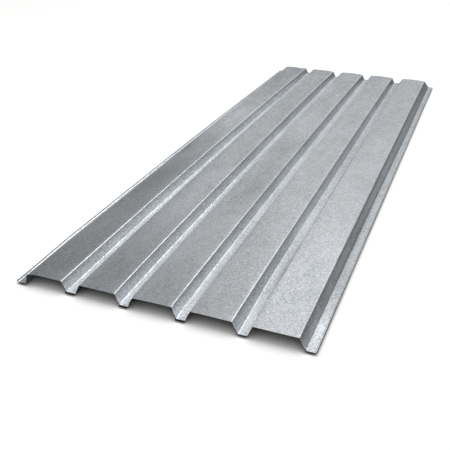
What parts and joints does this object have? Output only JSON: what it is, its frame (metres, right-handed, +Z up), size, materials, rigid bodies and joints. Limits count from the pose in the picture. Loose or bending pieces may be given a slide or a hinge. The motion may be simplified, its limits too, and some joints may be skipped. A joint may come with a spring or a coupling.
{
  "type": "corrugated metal sheet",
  "caption": "Long galvanised steel roofing and cladding sheet with broad flat trapezoidal ribs, narrow troughs between them and small upturned lips on its long edges.",
  "frame": {"origin": "on the resting plane, under the middle of the sheet", "axes": "+X across the ribs towards the wider last crest, +Y along the ribs, +Z up from the troughs to the broad crests"},
  "size_m": [1.0804, 3.1, 0.039],
  "materials": {
    "galvanised_steel": "hot-dip galvanised steel, dull grey with fine mottled zinc grain, slightly glossy"
  },
  "bodies": {
    "root": {"corrugated_sheet": "galvanised_steel"}
  },
  "joints": []
}
